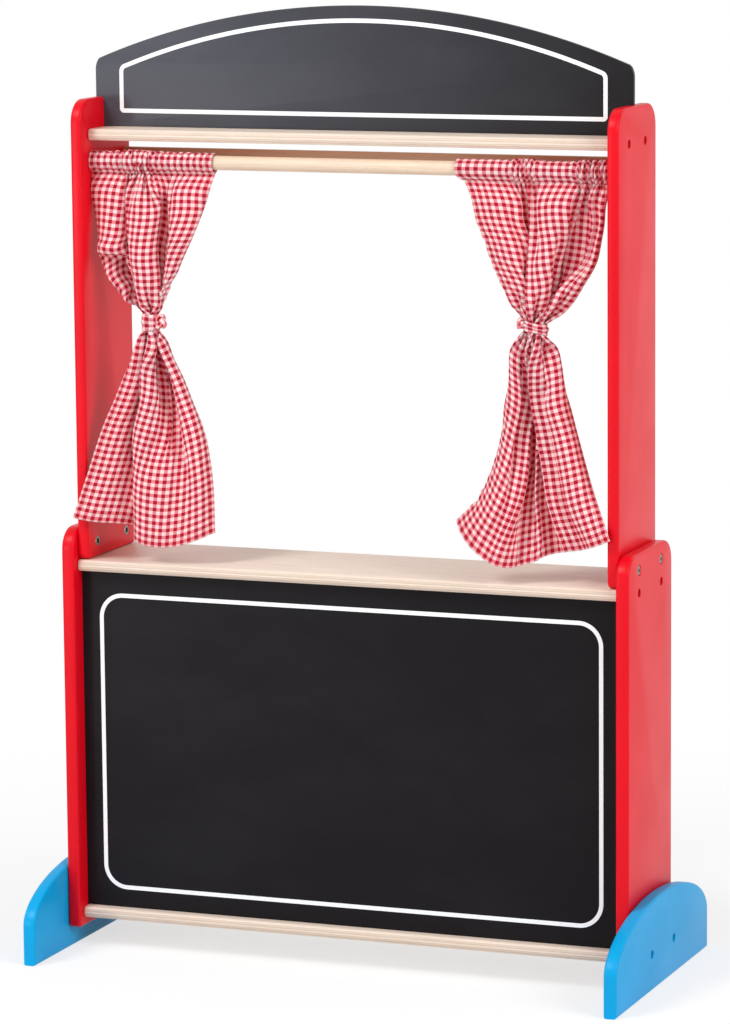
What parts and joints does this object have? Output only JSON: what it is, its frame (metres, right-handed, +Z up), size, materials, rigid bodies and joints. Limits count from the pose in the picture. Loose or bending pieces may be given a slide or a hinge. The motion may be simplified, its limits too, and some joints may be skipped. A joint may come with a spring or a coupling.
{
  "type": "puppet theater stand",
  "caption": "Floor-standing puppet theater with blue arched feet, red sides, a chalk panel under a counter, an arched chalk sign and tied-back gingham curtains on a rod.",
  "frame": {"origin": "on the floor, midway between the feet and midway between their front and back ends", "axes": "+X to the right as seen from the audience, +Y to the back, where the puppeteer sits, +Z up; the stage faces -Y"},
  "size_m": [0.7072, 0.338, 1.08],
  "materials": {
    "red_paint": "satin red paint over board",
    "blue_paint": "satin blue paint over board",
    "chalkboard": "matt black chalkboard paint over board",
    "plywood": "clear-lacquered birch plywood",
    "beech": "clear-lacquered beech",
    "gingham": "woven cotton, small red and white check",
    "steel": "zinc plated"
  },
  "bodies": {
    "stand": {"foot_right": "blue_paint", "foot_left": "blue_paint", "lower_side_right": "red_paint", "lower_side_left": "red_paint", "upper_post_right": "red_paint", "upper_post_left": "red_paint", "bottom_shelf": "plywood", "counter": "plywood", "top_shelf": "plywood", "front_panel": "chalkboard", "sign_board": "chalkboard", "curtain_rod": "beech", "rear_rail": "plywood", "post_bolt_front_right": "steel", "post_bolt_front_left": "steel", "post_bolt_back_right": "steel", "post_bolt_back_left": "steel", "post_nut_front_right": "steel", "post_nut_front_left": "steel", "post_nut_back_right": "steel", "post_nut_back_left": "steel", "counter_screw_front_right": "steel", "counter_screw_front_left": "steel", "counter_screw_back_right": "steel", "counter_screw_back_left": "steel", "foot_screw_front_right": "steel", "foot_screw_front_left": "steel", "foot_screw_back_right": "steel", "foot_screw_back_left": "steel", "shelf_screw_front_right": "steel", "shelf_screw_front_left": "steel", "shelf_screw_back_right": "steel", "shelf_screw_back_left": "steel"},
    "left_curtain": {"curtain_left": "gingham", "tie_left": "gingham"},
    "right_curtain": {"curtain_right": "gingham", "tie_right": "gingham"}
  },
  "joints": [
    {"name": "curtain_left_slide", "type": "slide", "parent": "stand", "child": "left_curtain", "axis": [1, 0, 0], "range_m": [0, 0.135]},
    {"name": "curtain_right_slide", "type": "slide", "parent": "stand", "child": "right_curtain", "axis": [-1, 0, 0], "range_m": [0, 0.135]}
  ]
}
